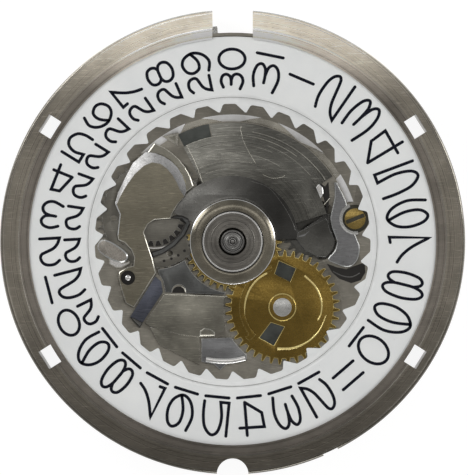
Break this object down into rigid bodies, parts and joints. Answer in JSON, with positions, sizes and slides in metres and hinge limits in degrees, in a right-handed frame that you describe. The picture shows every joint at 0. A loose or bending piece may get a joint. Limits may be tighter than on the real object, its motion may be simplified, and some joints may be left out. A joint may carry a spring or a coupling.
{
  "type": "mechanical watch movement",
  "caption": "Automatic mechanical watch movement seen from the dial side, with its date ring, held in a slotted casing ring.",
  "frame": {"origin": "on the hand axis, level with the rear rim of the casing ring", "axes": "+Z towards the dial side, +X towards the winding stem at 3 o'clock, +Y towards 12 o'clock"},
  "size_m": [0.0294, 0.0293, 0.0076],
  "materials": {
    "casing_steel": "turned, semi-bright",
    "plate_nickel": "satin nickel",
    "dark_steel": "turned and scratched",
    "blue_grey_steel": "hardened, matt",
    "polished_steel": "polished",
    "brass": "satin",
    "gilt_brass": "gilt, bright",
    "heavy_metal": "dense sintered metal",
    "date_enamel": "matt off-white print ground",
    "ruby": "clear synthetic ruby"
  },
  "bodies": {
    "movement": {"main_plate": "plate_nickel", "casing_ring": "casing_steel", "casing_clamps": "polished_steel", "clamp_screws": "polished_steel", "barrel_bridge": "plate_nickel", "train_bridge": "plate_nickel", "pallet_bridge": "plate_nickel", "balance_cock": "plate_nickel", "shock_settings": "brass", "train_jewels": "ruby", "bridge_screws": "polished_steel", "automatic_bridge": "plate_nickel", "automatic_screws": "polished_steel", "wheel_screws": "polished_steel", "click_spring": "polished_steel", "rotor_screw": "polished_steel", "plate_posts": "polished_steel", "upper_calendar_plate": "dark_steel", "side_calendar_plate": "dark_steel", "lower_calendar_plate": "blue_grey_steel", "jumper_plate": "dark_steel", "jumper_spring": "blue_grey_steel", "setting_lever_screw": "brass"},
    "barrel": {"barrel_drum": "brass", "barrel_lid": "brass", "mainspring": "polished_steel"},
    "winding_arbor": {"barrel_arbor": "polished_steel", "ratchet_wheel": "polished_steel"},
    "crown": {"crown_wheel": "polished_steel"},
    "click_lever": {"click": "polished_steel"},
    "great": {"great_wheel": "brass", "driving_pinion": "polished_steel"},
    "third": {"third_wheel": "brass"},
    "seconds": {"seconds_wheel": "brass"},
    "escape": {"escape_wheel": "gilt_brass"},
    "pallets": {"pallet_fork": "polished_steel", "pallet_stones": "ruby"},
    "balance": {"balance_wheel": "gilt_brass", "balance_staff": "polished_steel", "hairspring": "polished_steel"},
    "cannon": {"cannon_pinion": "polished_steel"},
    "minute": {"minute_wheel": "brass"},
    "setting": {"setting_wheel": "brass"},
    "hour": {"hour_wheel": "brass", "centre_dome": "polished_steel", "centre_disc": "dark_steel"},
    "date_drive": {"date_driving_wheel": "gilt_brass", "date_finger": "gilt_brass"},
    "intermediate": {"intermediate_wheel": "polished_steel"},
    "date": {"date_ring": "date_enamel"},
    "jumper": {"date_jumper": "dark_steel"},
    "stem_lever": {"setting_lever": "blue_grey_steel"},
    "corrector": {"date_corrector": "polished_steel"},
    "winding": {"winding_pinion": "polished_steel"},
    "sliding": {"sliding_pinion": "polished_steel"},
    "rotor": {"rotor_plate": "brass", "rotor_weight": "heavy_metal", "bearing_balls": "polished_steel"},
    "reversing": {"reversing_wheel": "brass"},
    "reduction": {"reduction_wheel": "brass"}
  },
  "joints": [
    {"name": "barrel_turn", "type": "hinge", "parent": "movement", "child": "barrel", "pos_m": [0.0032, 0.0058, 0.003], "axis": [0, 0, 1], "continuous": true},
    {"name": "great_turn", "type": "hinge", "parent": "movement", "child": "great", "pos_m": [-0.00226, 0.00265, 0.003], "axis": [0, 0, 1], "continuous": true},
    {"name": "third_turn", "type": "hinge", "parent": "movement", "child": "third", "pos_m": [-0.00346, -0.00066, 0.003], "axis": [0, 0, 1], "continuous": true},
    {"name": "seconds_turn", "type": "hinge", "parent": "movement", "child": "seconds", "pos_m": [0, 0, 0.003], "axis": [0, 0, 1], "continuous": true},
    {"name": "escape_turn", "type": "hinge", "parent": "movement", "child": "escape", "pos_m": [0.00211, -0.00251, 0.003], "axis": [0, 0, 1], "continuous": true},
    {"name": "pallets_swing", "type": "hinge", "parent": "movement", "child": "pallets", "pos_m": [0.00255, -0.00501, 0.003], "axis": [0, 0, 1], "range_deg": [-4, 4]},
    {"name": "balance_swing", "type": "hinge", "parent": "movement", "child": "balance", "pos_m": [0.00142, -0.00811, 0.003], "axis": [0, 0, 1], "range_deg": [-140, 140]},
    {"name": "cannon_turn", "type": "hinge", "parent": "movement", "child": "cannon", "pos_m": [0, 0, 0.003], "axis": [0, 0, 1], "continuous": true},
    {"name": "minute_turn", "type": "hinge", "parent": "movement", "child": "minute", "pos_m": [0.0014, 0.00348, 0.003], "axis": [0, 0, 1], "continuous": true},
    {"name": "setting_turn", "type": "hinge", "parent": "movement", "child": "setting", "pos_m": [0.00497, 0.00069, 0.003], "axis": [0, 0, 1], "continuous": true},
    {"name": "hour_turn", "type": "hinge", "parent": "movement", "child": "hour", "pos_m": [0, 0, 0.003], "axis": [0, 0, 1], "continuous": true},
    {"name": "date_drive_turn", "type": "hinge", "parent": "movement", "child": "date_drive", "pos_m": [0.00315, -0.00415, 0.003], "axis": [0, 0, 1], "continuous": true},
    {"name": "intermediate_turn", "type": "hinge", "parent": "movement", "child": "intermediate", "pos_m": [-0.00494, 0.00164, 0.003], "axis": [0, 0, 1], "continuous": true},
    {"name": "date_turn", "type": "hinge", "parent": "movement", "child": "date", "pos_m": [0, 0, 0.0056], "axis": [0, 0, 1], "continuous": true},
    {"name": "jumper_swing", "type": "hinge", "parent": "movement", "child": "jumper", "pos_m": [-0.0006, -0.0067, 0.0053], "axis": [0, 0, 1], "range_deg": [-2, 2]},
    {"name": "stem_lever_swing", "type": "hinge", "parent": "movement", "child": "stem_lever", "pos_m": [0.0073, -0.00075, 0.0053], "axis": [0, 0, 1], "range_deg": [-3, 3]},
    {"name": "corrector_swing", "type": "hinge", "parent": "movement", "child": "corrector", "pos_m": [-0.00705, -0.00098, 0.0053], "axis": [0, 0, 1], "range_deg": [-3, 3]},
    {"name": "rotor_turn", "type": "hinge", "parent": "movement", "child": "rotor", "pos_m": [0, 0, 0.0007], "axis": [0, 0, 1], "continuous": true},
    {"name": "reversing_turn", "type": "hinge", "parent": "movement", "child": "reversing", "pos_m": [-0.0018, 0.00312, 0.001], "axis": [0, 0, 1], "continuous": true},
    {"name": "reduction_turn", "type": "hinge", "parent": "movement", "child": "reduction", "pos_m": [-0.00271, 0.00685, 0.0016], "axis": [0, 0, 1], "continuous": true},
    {"name": "winding_arbor_turn", "type": "hinge", "parent": "movement", "child": "winding_arbor", "pos_m": [0.0032, 0.0058, 0.003], "axis": [0, 0, 1], "continuous": true},
    {"name": "crown_turn", "type": "hinge", "parent": "movement", "child": "crown", "pos_m": [0.00871, 0, 0.0019], "axis": [0, 0, 1], "continuous": true},
    {"name": "click_swing", "type": "hinge", "parent": "movement", "child": "click_lever", "pos_m": [0.00918, 0.00632, 0.0019], "axis": [0, 0, 1], "range_deg": [-4, 0]},
    {"name": "winding_pinion_turn", "type": "hinge", "parent": "movement", "child": "winding", "pos_m": [0.01169, 0, 0.0036], "axis": [1, 0, 0], "continuous": true},
    {"name": "sliding_pinion_slide", "type": "slide", "parent": "movement", "child": "sliding", "axis": [1, 0, 0], "range_m": [-0.0012, 0]}
  ],
  "couplings": [
    {"joint": "great_turn", "follows": "barrel_turn", "ratio": -8},
    {"joint": "third_turn", "follows": "barrel_turn", "ratio": 60},
    {"joint": "seconds_turn", "follows": "barrel_turn", "ratio": -480},
    {"joint": "escape_turn", "follows": "barrel_turn", "ratio": 5760},
    {"joint": "minute_turn", "follows": "barrel_turn", "ratio": 2.6667},
    {"joint": "cannon_turn", "follows": "barrel_turn", "ratio": -8},
    {"joint": "setting_turn", "follows": "barrel_turn", "ratio": -4.3636},
    {"joint": "hour_turn", "follows": "barrel_turn", "ratio": -0.66667},
    {"joint": "date_drive_turn", "follows": "barrel_turn", "ratio": 0.33333},
    {"joint": "intermediate_turn", "follows": "barrel_turn", "ratio": 0.33333},
    {"joint": "reversing_turn", "follows": "rotor_turn", "ratio": -0.8},
    {"joint": "reduction_turn", "follows": "rotor_turn", "ratio": 0.11429},
    {"joint": "winding_arbor_turn", "follows": "rotor_turn", "ratio": -0.017582},
    {"joint": "crown_turn", "follows": "rotor_turn", "ratio": 0.032653},
    {"joint": "winding_pinion_turn", "follows": "rotor_turn", "ratio": 0.060952}
  ]
}
